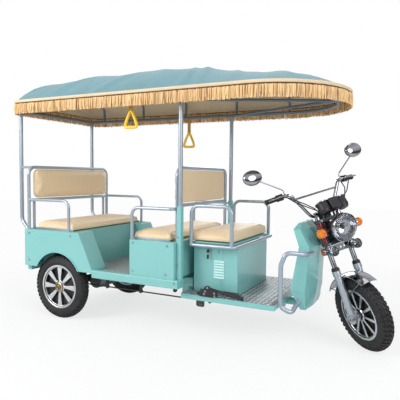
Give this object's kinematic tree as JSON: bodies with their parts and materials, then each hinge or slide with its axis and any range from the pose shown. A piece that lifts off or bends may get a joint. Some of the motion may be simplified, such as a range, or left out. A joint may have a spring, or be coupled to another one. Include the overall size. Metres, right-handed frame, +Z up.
{
  "type": "electric auto rickshaw",
  "caption": "Open electric three-wheeled passenger rickshaw with facing benches, a fringed cloth canopy, a motorcycle fork with a high handlebar, and a live rear axle.",
  "frame": {"origin": "on the floor, under the middle of the vehicle's own box", "axes": "+X towards the front wheel, +Y to the vehicle's left, +Z up"},
  "size_m": [2.8147, 1.06, 1.9019],
  "materials": {
    "body_paint": "gloss",
    "tread_plate": "five-bar tread",
    "black_plastic": "matte",
    "frame_paint": "satin",
    "silver_tube": "satin metallic",
    "grey_tube": "satin metallic",
    "canvas": "coated cloth",
    "straw_trim": "raffia fringe",
    "vinyl": "soft satin",
    "yellow_plastic": "gloss",
    "axle_paint": "satin",
    "motor_case": "cast",
    "spring_steel": "matte",
    "cast_alloy": "satin cast",
    "tyre_rubber": "matte",
    "plain_steel": "satin",
    "clamp_paint": "satin",
    "bright_chrome": "polished",
    "red_paint": "gloss",
    "lamp_glass": "clear",
    "amber_lens": "clear amber",
    "grip_rubber": "matte",
    "red_lens": "clear red"
  },
  "bodies": {
    "vehicle": {"rear_tub": "body_paint", "tail_lamps": "red_lens", "side_sills": "body_paint", "floor_decks": "tread_plate", "middle_seat_box": "body_paint", "driver_box": "body_paint", "battery_pack": "black_plastic", "rear_chassis": "frame_paint", "front_chassis": "frame_paint", "roof_posts": "silver_tube", "roof_rails": "grey_tube", "roof_bows": "grey_tube", "canopy": "canvas", "fringe": "straw_trim", "rear_seat_frame": "silver_tube", "rear_seat_cushion": "vinyl", "rear_back_pad": "vinyl", "middle_seat_frame": "silver_tube", "middle_seat_cushion": "vinyl", "middle_back_pad": "vinyl", "driver_seat_frame": "silver_tube", "leg_shield": "body_paint", "crash_bars": "silver_tube", "hand_straps": "yellow_plastic", "rear_axle": "axle_paint", "drive_motor": "motor_case", "leaf_springs": "spring_steel", "brake_linkage": "axle_paint"},
    "driver_lid": {"driver_seat_board": "black_plastic", "driver_seat_cushion": "vinyl"},
    "left_wheel": {"rear_rim_left": "cast_alloy", "rear_tyre_left": "tyre_rubber"},
    "right_wheel": {"rear_rim_right": "cast_alloy", "rear_tyre_right": "tyre_rubber"},
    "steering": {"front_axle": "plain_steel", "fork_clamps": "clamp_paint", "fork_stanchions": "bright_chrome", "fork_legs": "cast_alloy", "fork_shrouds": "red_paint", "mudguard": "bright_chrome", "headlight": "lamp_glass", "lamp_bracket": "bright_chrome", "spot_lamps": "lamp_glass", "indicators": "amber_lens", "instruments": "black_plastic", "handlebar": "bright_chrome", "grips": "grip_rubber", "mirrors": "bright_chrome", "control_cables": "grip_rubber"},
    "front_wheel": {"front_rim": "cast_alloy", "front_tyre": "tyre_rubber"}
  },
  "joints": [
    {"name": "steering_turn", "type": "hinge", "parent": "vehicle", "child": "steering", "pos_m": [1.16159, 0, 0.24771], "axis": [-0.3584, 0, 0.9336], "range_deg": [-3, 93]},
    {"name": "front_wheel_spin", "type": "hinge", "parent": "steering", "child": "front_wheel", "pos_m": [1.20944, -0.04243, 0.24144], "axis": [0.6601, 0.7071, 0.2534], "continuous": true},
    {"name": "rear_left_spin", "type": "hinge", "parent": "vehicle", "child": "left_wheel", "pos_m": [-0.95742, 0.43, 0.248], "axis": [0, 1, 0], "continuous": true},
    {"name": "rear_right_spin", "type": "hinge", "parent": "vehicle", "child": "right_wheel", "pos_m": [-0.95742, -0.43, 0.248], "axis": [0, 1, 0], "continuous": true},
    {"name": "driver_seat_lift", "type": "hinge", "parent": "vehicle", "child": "driver_lid", "pos_m": [0.44559, 0, 0.6575], "axis": [0, 1, 0], "range_deg": [0, 70]}
  ]
}
